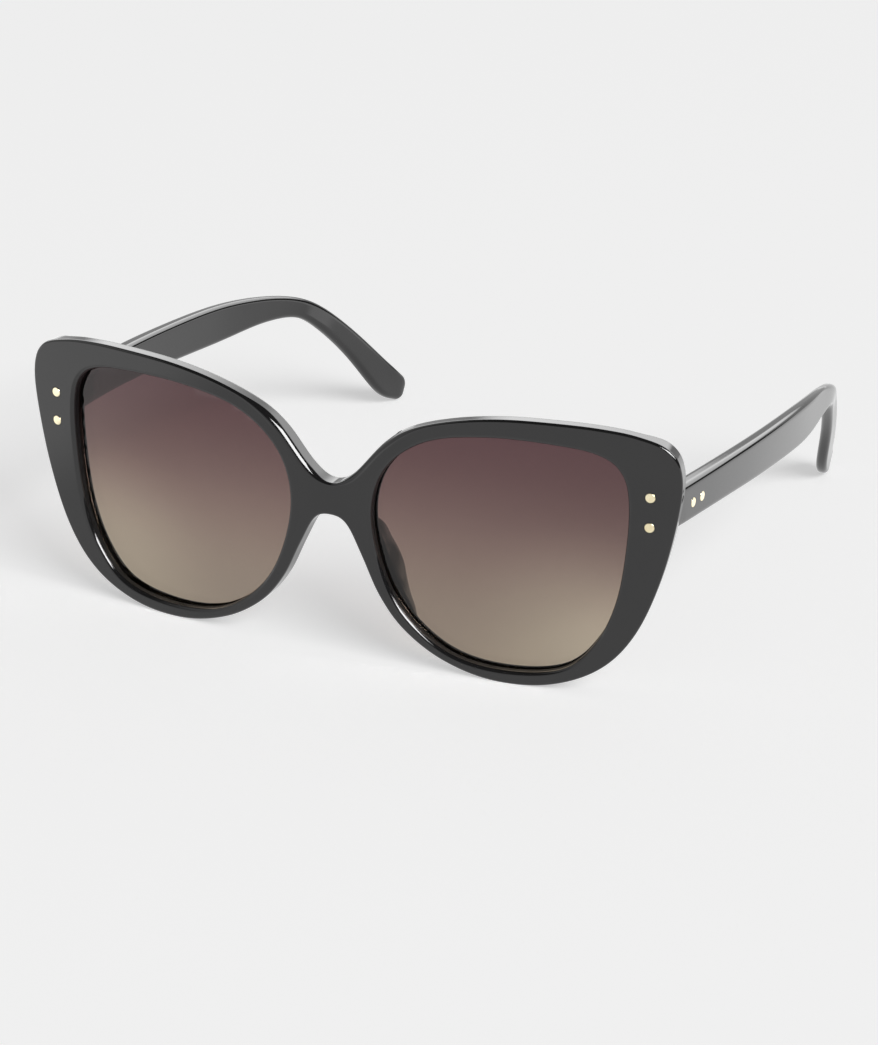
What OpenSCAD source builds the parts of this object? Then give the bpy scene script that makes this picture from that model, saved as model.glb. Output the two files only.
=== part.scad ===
// Cat eye sunglasses: a thick moulded front with two tinted lenses, bonded
// nose pads, and two temples that fold on riveted barrel hinges.
// Millimetres. +Z is up, the front faces -Y and the temples run back along +Y.
// The origin is on the table, in the middle of the footprint. The lower rims
// and the temple tips touch the table at Z = 0.
// "left" and "right" are the wearer's: left is +X. Every piece is drawn on
// the left and mirrored to the right.

/* [Front] */
// Overall width of the front
front_w = 144; // [140:1:148]
// Thickness of the front, face to back
front_t = 4.0; // [3.8:0.1:4.4]
// Radius of the horizontal face curve of the front
face_r = 356; // [330:2:400]
// Forward lean of the front when it rests on its rims and tips, in degrees
lean = 1.4; // [0.8:0.2:2.0]

/* [Lenses] */
// How far the lens sits behind the front face
lens_set = 1.9; // [1.7:0.1:1.9]
// Thickness of the lens
lens_t = 1.6; // [1.5:0.1:1.7]
// Depth of the lens groove in the rim
groove = 0.8; // [0.6:0.1:0.9]

/* [Temples] */
// Length of a temple from its butt joint to its tip, along the blade
temple_len = 148; // [143:1:153]
// Thickness of the blade at the hinge
blade_t = 3.8; // [3.6:0.1:4.0]
// Thickness of the blade at the bend and the tip
tip_t = 2.6; // [2.5:0.1:3.0]

/* [Hinges] */
// Diameter of the hinge barrel
barrel_d = 2.8; // [2.6:0.1:2.8]
// Diameter of the hinge screw
screw_d = 1.4; // [1.2:0.1:1.4]
// Radial running clearance of the temple barrel on the screw
run = 0.05; // [0.03:0.01:0.08]
// Diameter of a rivet shank
rivet_d = 1.2; // [1.0:0.1:1.3]
// Diameter of a rivet head
head_d = 2.0; // [1.8:0.1:2.2]
// Distance between the two rivets of a front hinge leaf
rivet_gap = 6.2; // [5.8:0.1:6.4]

/* [Hidden] */

black = [0.07, 0.07, 0.075];
lens_tint = [0.42, 0.34, 0.31, 0.75];
steel = [0.62, 0.60, 0.55];
gold = [0.90, 0.78, 0.45];

face_fn = 480;             // facets of the curved sheets
bar_fn = 48;               // facets of barrels, screws and rivets
pad_fn = 28;               // facets of the nose pad spheres

slack = 0.03;              // gap between pieces that are fixed together
over = 2;                  // how far cuts run past the faces of the front
foot_y = 73.7;             // middle of the footprint, behind the bridge face

// The outlines and stations below are drawn for these two sizes.
drawn_w = 144;
drawn_len = 148;
drawn_hinge_x = 65.9;

width_scale = front_w / drawn_w;
hinge_x = drawn_hinge_x * width_scale;       // x of the front rivets
hinge_shift = hinge_x - drawn_hinge_x;       // sideways shift of the temples
extra_len = temple_len - drawn_len;          // added to the straight of the blade

// ---- measured outlines ----

// Left (+X) half of the outer outline as [x, z], from the top of the bridge
// round the brow and the outer side to the nose arch.
half_outline = [
    [ 0.00, 36.75],                                   // bridge, top
    [ 4.75, 39.25], [11.50, 47.00], [17.25, 51.00],   // inner brow
    [26.25, 54.00], [37.00, 55.75], [49.75, 56.25],   // brow line
    [58.00, 56.00], [63.50, 55.25], [68.75, 53.50],   // upswept corner
    [71.50, 49.75], [71.75, 42.25],                   // end piece
    [68.75, 27.25], [63.75, 14.00], [56.75,  5.50],   // outer side
    [46.50,  0.75], [34.75,  0.00], [24.25,  2.75],   // lower rim
    [16.00,  8.00], [10.75, 14.50], [ 7.00, 22.25],   // nose side
    [ 3.50, 28.75], [ 0.00, 30.00]];                  // nose arch
rim_low_x = 34.75;         // x of the lowest point of the rim

// Left lens opening as [x, z], starting at its nose side.
opening = [
    [ 9.00, 31.75], [12.00, 41.75], [20.75, 48.75], [34.25, 51.50],
    [49.25, 51.50], [56.50, 50.25], [60.00, 47.50], [61.50, 42.75],
    [61.50, 33.75], [59.75, 20.75], [55.75, 11.00], [49.00,  4.50],
    [37.25,  2.50], [26.00,  4.25], [17.00, 10.50], [11.50, 19.50]];

// Spheres of the nose pad: x, y, z, radius.
pad_spheres = [
    [ 6.2, 5.6, 28.0, 1.1], [ 7.8, 8.6, 25.9, 1.0],
    [10.6, 9.2, 20.8, 1.0], [12.7, 8.4, 15.6, 1.0],
    [15.2, 6.2, 11.2, 1.0], [17.4, 4.6,  8.9, 1.1],
    [10.4, 4.6, 18.6, 1.4]];

// Temple stations: y behind the bridge face, z of the centre line, half the
// blade height, and x of the outer face.
stations = [
    [  6.0, 40.0, 4.0, 69.5], [ 32.0, 38.9, 4.1, 71.3],
    [ 56.0, 37.3, 4.3, 71.9], [ 81.5, 35.3, 4.3, 71.1],
    [100.0, 33.7, 3.1, 68.8], [113.0, 30.9, 2.3, 66.5],
    [120.5, 26.4, 2.6, 64.2], [130.5, 17.5, 3.1, 61.1],
    [141.0,  5.7, 4.1, 57.1], [144.5,  3.5, 3.3, 56.2]];

// ---- curve functions ----

// Point at t (0 to 1) of the Catmull-Rom curve between start and end.
function spline(before, start, end, after, t) =
    0.5 * (2 * start + (end - before) * t
           + (2 * before - 5 * start + 4 * end - after) * t * t
           + (3 * start - before - 3 * end + after) * t * t * t);
// Smooth closed curve through the points, with steps between each two.
function closed_curve(points, steps) = let (count = len(points))
    [for (i = [0 : count - 1], j = [0 : steps - 1])
        spline(points[(i + count - 1) % count], points[i],
               points[(i + 1) % count], points[(i + 2) % count], j / steps)];
// Smooth open curve through the points.
function open_curve(points, steps) = let (final = len(points) - 1) concat(
    [for (i = [0 : final - 1], j = [0 : steps - 1])
        spline(points[max(i - 1, 0)], points[i],
               points[i + 1], points[min(i + 2, final)], j / steps)],
    [points[final]]);
function unit(v) = v / norm(v);
function clamp01(value) = min(max(value, 0), 1);
// A clockwise closed outline moved outwards.
function grown(points, distance) = let (count = len(points))
    [for (i = [0 : count - 1])
        let (along = unit(points[(i + 1) % count] - points[(i + count - 1) % count]))
        points[i] + distance * [-along[1], along[0]]];
// Rounded rectangle centred on the origin.
function rounded(w, h, r) =
    [for (k = [0 : 3], a = [0 : 22.5 : 90])
        [(k == 0 || k == 3 ? 1 : -1) * (w / 2 - r) + r * cos(a + 90 * k),
         (k < 2 ? 1 : -1) * (h / 2 - r) + r * sin(a + 90 * k)]];
function widened(points) = [for (p = points) [p[0] * width_scale, p[1]]];

mirrored_half = [for (i = [len(half_outline) - 2 : -1 : 1])
    [-half_outline[i][0], half_outline[i][1]]];
outline = closed_curve(widened(concat(half_outline, mirrored_half)), 4);
lens_hole = closed_curve(widened(opening), 6);

// ---- placing and sheets ----

// y of the front face at x.
function face_y(x) = face_r - sqrt(face_r * face_r - x * x);
pivot_z = 28;              // height the front leans about
// The drop that brings the leaned lower rims back to the table.
sink = pivot_z * (1 - cos(lean)) + face_y(rim_low_x) * sin(lean);

// Puts the front's upright frame on the table with its lean.
module posed() {
    translate([0, -foot_y, pivot_z - sink]) rotate([lean, 0, 0])
        translate([0, 0, -pivot_z]) children();
}
// The left side as drawn (hand = 1), or mirrored to the right (hand = -1).
module side(hand) {
    if (hand > 0) children();
    else mirror([1, 0, 0]) children();
}
// An [x, z] outline pushed through the thickness of the front.
module through(points) {
    translate([0, 18, 0]) rotate([90, 0, 0]) linear_extrude(20) polygon(points);
}
// Curved sheet between two depths behind the front face.
module sheet(depth_a, depth_b, base = -5, height = 70) {
    translate([0, face_r, base]) difference() {
        cylinder(r = face_r - depth_a, h = height, $fn = face_fn);
        translate([0, 0, -1])
            cylinder(r = face_r - depth_b, h = height + 2, $fn = face_fn);
    }
}
// Round bar along y' from a to b.
module bar_y(r, a, b) {
    translate([0, a, 0]) rotate([-90, 0, 0]) cylinder(r = r, h = b - a, $fn = bar_fn);
}
// Round bar along x' from a to b.
module bar_x(r, a, b) {
    translate([a, 0, 0]) rotate([0, 90, 0]) cylinder(r = r, h = b - a, $fn = bar_fn);
}
// Plate with an x'z' outline, from depth a to depth b.
module plate_y(points, a, b) {
    translate([0, b, 0]) rotate([90, 0, 0]) linear_extrude(b - a) polygon(points);
}

// ---- hinge sizes and frames ----

hinge_z = 40.1;                  // height of the middle of the hinge
wrap = asin(hinge_x / face_r);   // turn of the end piece
leaf_t = 1.0;                    // front leaf thickness
leaf_w = 5.2;                    // front leaf width
leaf_h = rivet_gap + 3.2;        // front leaf height
leaf_corner = 0.8;               // front leaf corner radius
axis_back = 1.6;                 // hinge axis behind the back of the front
axis_d = front_t + axis_back;    // hinge axis behind the face
butt_d = front_t + 0.25;         // depth of the temple's butt face
stack = 6.6;                     // height of the three barrels together
mid_h = 2.2;                     // height of the temple barrel
barrel_gap = 0.05;               // gap above and below the temple barrel
end_h = (stack - mid_h) / 2 - barrel_gap;   // height of a front barrel
bore_h = 10;                     // length of the cut for a screw hole
shank_r = rivet_d / 2;
shank_hole_r = shank_r + slack;
head_r = head_d / 2;
head_sink = 0.5;                 // depth of the recess for a rivet head

// Hinge axis in the front's upright frame.
axis_x = hinge_x - axis_d * sin(wrap);
axis_y = face_y(hinge_x) + axis_d * cos(wrap);

// Temple leaf, in its own frame.
blade_in = 66.15 + hinge_shift;  // x of the blade's inner face at the leaf
temple_leaf_t = 0.9;
temple_leaf_h = 4.6;
temple_leaf_z = -3.3;            // lower edge of the leaf
leaf_rivets = [[5.8, -1.3], [9.8, -1.4]];   // fore, aft: y', z'
blade_face = 3.74;               // outer face of the blade
past_blade = 6;                  // x' clear of the outer face

// Frame of an end piece: x' outwards along the face, y' back through it.
module at_end() {
    posed() translate([hinge_x, face_y(hinge_x), hinge_z])
        rotate([0, 0, wrap]) children();
}
// Frame of a temple leaf: x' outwards through the blade, y' along it.
module at_leaf() {
    posed() translate([blade_in, 12.4, hinge_z]) rotate([0, 0, -4.2])
        children();
}
// Place of a front rivet in the end frame: level = 1 upper, -1 lower.
module at_front_rivet(level) {
    translate([0, 0, level * rivet_gap / 2]) children();
}
// Place of a temple rivet in the leaf frame: index = 0 fore, 1 aft.
module at_temple_rivet(index) {
    translate([0, leaf_rivets[index][0], leaf_rivets[index][1]]) children();
}

// ---- front ----

module front_frame() {
    color(black)
    difference() {
        posed() difference() {
            intersection() {
                through(outline);
                sheet(0, front_t);
            }
            for (hand = [1, -1]) side(hand) {
                through(lens_hole);
                intersection() {
                    through(grown(lens_hole, groove));
                    sheet(lens_set - slack, lens_set + lens_t + slack);
                }
            }
        }
        for (hand = [1, -1]) side(hand) at_end() {
            // seat of the hinge leaf
            plate_y(rounded(leaf_w + 2 * slack, leaf_h + 2 * slack, leaf_corner),
                    front_t - leaf_t - slack, front_t + over);
            for (level = [1, -1]) at_front_rivet(level) {
                bar_y(shank_hole_r, -over, front_t);
                bar_y(head_r + slack, -over, head_sink + slack);
            }
        }
    }
}

module lens(hand) {
    edge_gap = 0.05;   // between the lens edge and the bottom of the groove
    color(lens_tint)
    posed() side(hand) intersection() {
        through(grown(lens_hole, groove - edge_gap));
        sheet(lens_set, lens_set + lens_t);
    }
}

// A drop-shaped pad that stands back from the nose side of the rim and
// splays outwards, trimmed to the back of the front.
module nose_pad(hand) {
    color(black)
    posed() side(hand) difference() {
        hull() {
            for (ball = pad_spheres)
                translate([ball[0] * width_scale, ball[1], ball[2]])
                    sphere(r = ball[3], $fn = pad_fn);
        }
        sheet(-10, front_t + slack, base = 0, height = 60);
    }
}

// ---- temples ----

// Blade stations with the chosen width and length. The added length is
// spread over the 50 mm behind y = 32.
blade = open_curve([for (s = stations)
    [s[0] + extra_len * clamp01((s[0] - 32) / 50), s[1], s[2], s[3] + hinge_shift]], 4);
blade_n = len(blade) - 1;
blade_end = blade[blade_n];
tip_reach = 3.0;           // length of the rounded tip past the last station

// Direction of the blade at station i, in side view.
function blade_dir(i) =
    let (before = blade[max(i - 1, 0)], after = blade[min(i + 1, blade_n)])
    unit([after[0] - before[0], after[1] - before[1]]);
// Side view point, set off from station i along and square to the blade.
function blade_point(i, along, up) = let (d = blade_dir(i))
    [blade[i][0] + along * d[0] - up * d[1],
     blade[i][1] + along * d[1] + up * d[0]];
// Squares off the tip's rounding a little.
function blunt(value) = sign(value) * pow(abs(value), 0.9);
// Thickness of the blade at y: tapers from the hinge to the bend.
function thick(y) = blade_t + (tip_t - blade_t) * clamp01((y - 12) / 88);
// Plan view points of the outer and inner faces at station i.
function outer_point(i) = [blade[i][3], blade[i][0]];
function inner_point(i) = outer_point(i) - [thick(blade[i][0]), 0];

module blade_body() {
    // side view: top edge, tip, then bottom edge
    profile = concat(
        [for (i = [0 : blade_n]) blade_point(i, 0, blade[i][2])],
        [for (a = [75 : -15 : -75])
            blade_point(blade_n, tip_reach * blunt(cos(a)), blade_end[2] * blunt(sin(a)))],
        [for (i = [blade_n : -1 : 0]) blade_point(i, 0, -blade[i][2])]);
    // plan view, carried on past both ends of the blade
    near = outer_point(0) - [0, 3];
    far = outer_point(blade_n) + [-4.2, 9];
    plan = concat(
        [near], [for (i = [0 : blade_n]) outer_point(i)], [far],
        [far - [tip_t, 0]], [for (i = [blade_n : -1 : 0]) inner_point(i)],
        [near - [blade_t, 0]]);
    translate([0, -foot_y, 0]) intersection() {
        translate([40, 0, 0]) rotate([90, 0, 90]) linear_extrude(45) polygon(profile);
        translate([0, 0, -10]) linear_extrude(70) polygon(plan);
    }
}

module temple(hand) {
    inside = 3;                                // cuts start this far inside the blade
    cut_x = inside + temple_leaf_t + slack;
    color(black)
    side(hand) difference() {
        blade_body();
        // butt face that meets the back of the end piece
        at_end() translate([-15, butt_d - 20, -20]) cube([30, 20, 40]);
        at_leaf() {
            // seat of the temple leaf
            translate([-inside, 0, temple_leaf_z - slack])
                cube([cut_x, 13.5 + slack, temple_leaf_h + 2 * slack]);
            // space round the barrels
            translate([-inside, -4, -3.8]) cube([cut_x, 5.4, 8.6]);
            for (i = [0, 1]) at_temple_rivet(i) {
                bar_x(shank_hole_r, 0, past_blade);
                bar_x(head_r + slack, blade_face - head_sink, past_blade);
            }
        }
    }
}

// ---- hinges ----

// Leaf with two barrels, sunk into the back of the end piece.
module hinge_front(hand) {
    web_root = 0.5;        // how far the barrel webs run into the leaf
    color(steel)
    side(hand) at_end() difference() {
        union() {
            plate_y(rounded(leaf_w, leaf_h, leaf_corner), front_t - leaf_t, front_t);
            for (base = [mid_h / 2 + barrel_gap, -stack / 2])
                translate([0, 0, base]) {
                    translate([0, axis_d, 0])
                        cylinder(d = barrel_d, h = end_h, $fn = bar_fn);
                    translate([-barrel_d / 2, front_t - web_root, 0])
                        cube([barrel_d, axis_back + web_root, end_h]);
                }
        }
        translate([0, axis_d, -bore_h / 2])
            cylinder(d = screw_d + 0.02, h = bore_h, $fn = bar_fn);
        for (level = [1, -1]) at_front_rivet(level)
            bar_y(shank_hole_r, 0, front_t + 0.01);
    }
}

// Leaf with the middle barrel, let into the inside of the blade.
module hinge_temple(hand) {
    // plan of the arm that joins the barrel to the leaf
    arm = [
        [axis_x - 0.2, axis_y + barrel_d / 2 - 0.02],
        [axis_x + 0.9, axis_y - 0.9],
        [blade_in + 0.85, 12.7],
        [blade_in + 0.95, 15.4],
        [blade_in + 0.3, 15.4]];
    color(steel)
    side(hand) difference() {
        union() {
            at_leaf() translate([0, 0.2, temple_leaf_z])
                cube([temple_leaf_t, 13.2, temple_leaf_h]);
            posed() translate([0, 0, hinge_z - mid_h / 2]) {
                translate([axis_x, axis_y, 0])
                    cylinder(d = barrel_d, h = mid_h, $fn = bar_fn);
                linear_extrude(mid_h) polygon(arm);
            }
        }
        posed() translate([axis_x, axis_y, hinge_z - bore_h / 2])
            cylinder(d = screw_d + 2 * run, h = bore_h, $fn = bar_fn);
        at_leaf() for (i = [0, 1]) at_temple_rivet(i)
            bar_x(shank_hole_r, -1, 2);
    }
}

// Slotted screw that is the hinge pin.
module hinge_screw(hand) {
    top = stack / 2;       // top of the barrels
    below = 0.2;           // how far the pin stands out below them
    slot_w = 0.35;
    color(steel)
    side(hand) posed() translate([axis_x, axis_y, hinge_z]) difference() {
        union() {
            translate([0, 0, -top - below])
                cylinder(d = screw_d, h = stack + below + 0.1, $fn = bar_fn);
            translate([0, 0, top + 0.02]) cylinder(d = 2.1, h = 0.7, $fn = bar_fn);
        }
        translate([-2, -slot_w / 2, top + 0.4]) cube([4, slot_w, 1]);
    }
}

// Rivet through the end piece and the front leaf.
module front_rivet(hand, level) {
    color(gold)
    side(hand) at_end() at_front_rivet(level) {
        bar_y(shank_r, 0.3, front_t - 0.02);
        bar_y(head_r, -0.12, head_sink);
    }
}

// Rivet through the blade and the temple leaf.
module temple_rivet(hand, index) {
    color(gold)
    side(hand) at_leaf() at_temple_rivet(index) {
        bar_x(shank_r, 0.02, blade_face - 0.3);
        bar_x(head_r, blade_face - head_sink + slack, blade_face + 0.14);
    }
}

front_frame();
lens(1);  // lens_left
lens(-1);  // lens_right
nose_pad(1);  // nose_pad_left
nose_pad(-1);  // nose_pad_right
temple(1);  // temple_left
temple(-1);  // temple_right
hinge_front(1);  // hinge_front_left
hinge_front(-1);  // hinge_front_right
hinge_temple(1);  // hinge_temple_left
hinge_temple(-1);  // hinge_temple_right
hinge_screw(1);  // hinge_screw_left
hinge_screw(-1);  // hinge_screw_right
front_rivet(1, 1);  // front_rivet_upper_left
front_rivet(1, -1);  // front_rivet_lower_left
front_rivet(-1, 1);  // front_rivet_upper_right
front_rivet(-1, -1);  // front_rivet_lower_right
temple_rivet(1, 0);  // temple_rivet_fore_left
temple_rivet(1, 1);  // temple_rivet_aft_left
temple_rivet(-1, 0);  // temple_rivet_fore_right
temple_rivet(-1, 1);  // temple_rivet_aft_right
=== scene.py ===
"""Sunglasses standing open on a pale floor.

A curved front with two tinted lenses and moulded nose pads, and two swept temple blades
fixed with gold rivets over metal hinges. Frame: +x is the wearer's left, the front faces
-y, the blades run back along +y, z is up and the floor lies at z = 0.
Shapes are drawn in millimetres in the front's upright frame (y = 0 at the middle of the
face) and brought to metres when a mesh is made.
"""
import math
import bpy
import bmesh
import numpy as np
from mathutils import Matrix, Vector, geometry


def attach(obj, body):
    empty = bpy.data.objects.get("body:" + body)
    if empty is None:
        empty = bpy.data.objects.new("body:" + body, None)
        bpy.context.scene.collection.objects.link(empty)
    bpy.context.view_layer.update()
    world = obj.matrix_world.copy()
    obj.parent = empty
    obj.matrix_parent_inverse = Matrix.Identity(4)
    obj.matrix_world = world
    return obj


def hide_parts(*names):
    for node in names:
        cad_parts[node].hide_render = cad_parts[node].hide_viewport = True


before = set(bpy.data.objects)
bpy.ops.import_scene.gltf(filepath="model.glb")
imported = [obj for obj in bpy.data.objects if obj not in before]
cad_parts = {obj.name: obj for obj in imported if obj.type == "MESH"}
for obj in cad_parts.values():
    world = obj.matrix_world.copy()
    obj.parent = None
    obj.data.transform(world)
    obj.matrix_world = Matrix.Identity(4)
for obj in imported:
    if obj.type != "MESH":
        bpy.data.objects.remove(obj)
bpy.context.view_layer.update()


# ---------------------------------------------------------------- design numbers (mm)
FACE_R = 356.0                    # radius of the face curve
FRONT_T = 4.0                     # front thickness
FRONT_EDGE, REAR_EDGE, INNER_EDGE, INNER_REAR = 0.6, 0.45, 0.85, 0.35    # edge radii
LEAN = math.radians(1.4)          # the top of the front leans forwards
LEAN_Z = 28                       # height of the leaning axis
LOWEST_X = 34.75                  # x of the lowest point of the outline
FRONT_SHIFT = 73.7                # the front stands this far before the origin
LENS_SET, LENS_T, GROOVE = 1.9, 1.6, 0.8    # lens depth in the front, thickness, groove depth
FIT = 0.03                        # play round the lens and the rivets

HINGE_X, HINGE_Z = 65.9, 40.1     # hinge place on the front
WRAP = math.asin(HINGE_X / FACE_R)          # turn of the face at the hinge
SEAT_HALF, SEAT_R, SEAT_DEPTH = (2.63, 4.73), 0.8, 1.03
RIVET_GAP = 6.2                   # between the two front rivets
RIVET_HEAD_R, RIVET_SHANK_R, RIVET_RIM = 1.0, 0.6, 0.10
FRONT_HEAD_T = 0.5                # depth of the front rivet's head

LEAF_X, LEAF_Y, LEAF_TURN = 66.15, 12.4, math.radians(-4.2)   # hinge leaf on the blade
LEAF_FACE = 3.74                  # outer face of the blade, in the leaf's x
LEAF_RIVETS = [(5.8, -1.3), (9.8, -1.4)]    # y, z in the leaf's frame
POCKET_X = (-3, 0.93)             # x range of the pockets cut for the leaf

MITRE = FRONT_T + 0.25            # depth of the blade's butt face behind the front's face
BUTT_Y, BUTT_R = 10.9, 0.22       # start of the blade and its edge radius there
BUTT_T, TIP_T = 3.8, 2.6          # blade thickness at the start and at the tip

# right-angled view of the +x half of the front, clockwise from the top of the bridge: x, z
HALF_OUTLINE = [
    (0.00, 36.75), (4.75, 39.25), (11.50, 47.00), (17.25, 51.00),
    (26.25, 54.00), (37.00, 55.75), (49.75, 56.25), (58.00, 56.00),
    (63.50, 55.25), (68.75, 53.50), (71.50, 49.75), (71.75, 42.25),
    (68.75, 27.25), (63.75, 14.00), (56.75, 5.50), (46.50, 0.75),
    (34.75, 0.00), (24.25, 2.75), (16.00, 8.00), (10.75, 14.50),
    (7.00, 22.25), (3.50, 28.75), (0.00, 30.00)]
# lens opening on the +x side, clockwise: x, z
OPENING = [
    (9.00, 31.75), (12.00, 41.75), (20.75, 48.75), (34.25, 51.50),
    (49.25, 51.50), (56.50, 50.25), (60.00, 47.50), (61.50, 42.75),
    (61.50, 33.75), (59.75, 20.75), (55.75, 11.00), (49.00, 4.50),
    (37.25, 2.50), (26.00, 4.25), (17.00, 10.50), (11.50, 19.50)]
# blade from hinge to tip: y, z of the middle line, half height, x of the outer face
BLADE_STATIONS = [
    (6.0, 40.0, 4.0, 69.5), (32.0, 38.9, 4.1, 71.3), (56.0, 37.3, 4.3, 71.9),
    (81.5, 35.3, 4.3, 71.1), (100.0, 33.7, 3.1, 68.8), (113.0, 30.9, 2.3, 66.5),
    (120.5, 26.4, 2.6, 64.2), (130.5, 17.5, 3.1, 61.1), (141.0, 5.7, 4.1, 57.1),
    (144.5, 3.5, 3.3, 56.2)]
# nose pad from top to bottom: x, z and width of its foot on the rim, crest depth behind
# the back face, x, z and width of the crest
PAD_ROWS = [
    (5.0, 29.9, 1.4, 0.1, 5.0, 29.8, 1.0), (6.0, 28.2, 2.6, 3.6, 6.6, 28.0, 1.6),
    (7.2, 26.2, 3.2, 5.7, 7.7, 25.9, 1.8), (8.4, 23.8, 3.4, 6.0, 9.0, 23.4, 1.8),
    (9.5, 21.0, 3.2, 6.1, 10.6, 20.8, 1.8), (10.7, 18.4, 3.0, 6.0, 11.9, 18.0, 1.8),
    (12.1, 15.8, 2.8, 5.3, 12.8, 15.3, 1.8), (13.7, 13.2, 2.7, 4.1, 14.1, 12.6, 1.8),
    (15.5, 10.6, 2.4, 2.7, 15.7, 10.4, 1.7), (17.2, 8.6, 1.8, 0.9, 17.1, 8.5, 1.4),
    (18.2, 7.8, 1.0, 0.1, 18.2, 7.9, 0.8)]


def face_y(x):
    """How far the curved face has swept back at x."""
    return FACE_R - math.sqrt(FACE_R * FACE_R - x * x)


# ---------------------------------------------------------------- frames
# lowers the leaning front on to the floor
SINK = LEAN_Z * (1 - math.cos(LEAN)) + face_y(LOWEST_X) * math.sin(LEAN)
UPRIGHT = (Matrix.Translation((0, -FRONT_SHIFT, LEAN_Z - SINK))
           @ Matrix.Rotation(LEAN, 4, "X") @ Matrix.Translation((0, 0, -LEAN_Z)))
AT_END = (UPRIGHT @ Matrix.Translation((HINGE_X, face_y(HINGE_X), HINGE_Z))
          @ Matrix.Rotation(WRAP, 4, "Z"))
AT_LEAF = (UPRIGHT @ Matrix.Translation((LEAF_X, LEAF_Y, HINGE_Z))
           @ Matrix.Rotation(LEAF_TURN, 4, "Z"))
AT_BLADE = Matrix.Translation((0, -FRONT_SHIFT, 0))
MIRROR = Matrix.Scale(-1, 4, (1, 0, 0))
TO_METRES = Matrix.Scale(0.001, 4)


# ---------------------------------------------------------------- curves
def catmull(points, closed, steps=24):
    """Catmull-Rom curve through the points, with the given steps per span."""
    points = np.asarray(points, float)
    count = len(points)
    last = count if closed else count - 1
    out = []
    for i in range(last):
        if closed:
            around = i - 1, i, (i + 1) % count, (i + 2) % count
        else:
            around = max(i - 1, 0), i, i + 1, min(i + 2, count - 1)
        p0, p1, p2, p3 = (points[k] for k in around)
        for j in range(steps):
            t = j / steps
            out.append(0.5 * (2 * p1 + (p2 - p0) * t + (2 * p0 - 5 * p1 + 4 * p2 - p3) * t * t
                              + (3 * p1 - p0 - 3 * p2 + p3) * t ** 3))
    if not closed:
        out.append(points[-1])
    return np.array(out)


def resample(points, count, closed):
    """Even spacing by the length in the first two columns."""
    path = np.vstack([points, points[:1]]) if closed else points
    run = np.r_[0, np.cumsum(np.linalg.norm(np.diff(path[:, :2], axis=0), axis=1))]
    at = np.linspace(0, run[-1], count + 1 if closed else count)
    even = np.stack([np.interp(at, run, path[:, k]) for k in range(path.shape[1])], 1)
    return even[:-1] if closed else even


def soften(points, sigma, closed):
    """Gaussian smoothing along the curve, sigma in samples."""
    reach = int(4 * sigma) + 1
    weights = np.exp(-0.5 * (np.arange(-reach, reach + 1) / sigma) ** 2)
    weights /= weights.sum()
    if closed:
        path = np.vstack([points[-reach:], points, points[:reach]])
    else:                            # odd extension keeps the ends and their slope
        path = np.vstack([2 * points[0] - points[reach:0:-1], points,
                          2 * points[-1] - points[-2:-reach - 2:-1]])
    return np.stack([np.convolve(path[:, c], weights, "valid")
                     for c in range(points.shape[1])], 1)


def loop_normals(loop):
    """Unit 2D normals on the left of the running direction."""
    along = np.roll(loop, -1, 0) - np.roll(loop, 1, 0)
    along /= np.linalg.norm(along, axis=1)[:, None]
    return np.c_[-along[:, 1], along[:, 0]]


def ease(t):
    t = np.clip(t, 0, 1)
    return t * t * (3 - 2 * t)


def ramp_up(value, start, length):
    """0 before start, then straight up to 1 over the length."""
    return min(max((value - start) / length, 0), 1)


def quarter(steps):
    """Angles of a quarter turn."""
    return [math.pi / 2 * k / steps for k in range(steps + 1)]


whole_outline = HALF_OUTLINE + [(-x, z) for x, z in HALF_OUTLINE[-2:0:-1]]
OUTLINE = soften(resample(catmull(whole_outline, True), 1040, True), 2.2, True)
OPENING_LOOP = soften(resample(catmull(OPENING, True), 440, True), 2.2, True)


# ---------------------------------------------------------------- mesh builder
def recalc_outward(mesh):
    work = bmesh.new()
    work.from_mesh(mesh)
    bmesh.ops.recalc_face_normals(work, faces=work.faces)
    work.to_mesh(mesh)
    work.free()


class Builder:
    """Collects vertices, their normals and faces."""

    def __init__(self):
        self.points, self.normals, self.faces = [], [], []
        self.count = 0

    def add(self, points, normals=None):
        """Adds vertices and returns their indices."""
        start = self.count
        points = np.asarray(points, float)
        self.points.append(points)
        self.normals.append(np.zeros_like(points) if normals is None
                            else np.asarray(normals, float))
        self.count += len(points)
        return np.arange(start, self.count)

    def join(self, loops, flip=False):
        """Quads between each closed loop and the next."""
        for a, b in zip(loops, loops[1:]):
            quads = np.stack([a, np.roll(a, -1), np.roll(b, -1), b], 1)
            if flip:
                quads = quads[:, ::-1]
            self.faces += [tuple(int(i) for i in quad) for quad in quads]

    def cap(self, loop, flip):
        """Fan of triangles from a loop to its middle."""
        middle = int(self.add([np.vstack(self.points)[loop].mean(0)])[0])
        for i, j in zip(loop, np.roll(loop, -1)):
            triangle = (int(i), int(j), middle)
            self.faces.append(triangle[::-1] if flip else triangle)

    def mesh(self, name, matrix, own_normals=True):
        """Mesh with the collected normals, or with faces turned outwards."""
        mesh = bpy.data.meshes.new(name)
        mesh.from_pydata([tuple(p) for p in np.vstack(self.points)], [], self.faces)
        mesh.update()
        if own_normals:
            normals = np.vstack(self.normals)
            normals /= np.maximum(np.linalg.norm(normals, axis=1), 1e-12)[:, None]
            mesh.shade_smooth()
            mesh.normals_split_custom_set_from_vertices([tuple(n) for n in normals])
        mesh.transform(matrix)
        if matrix.determinant() < 0:
            mesh.flip_normals()
        mesh.update()
        if not own_normals:
            recalc_outward(mesh)
        return mesh


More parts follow.
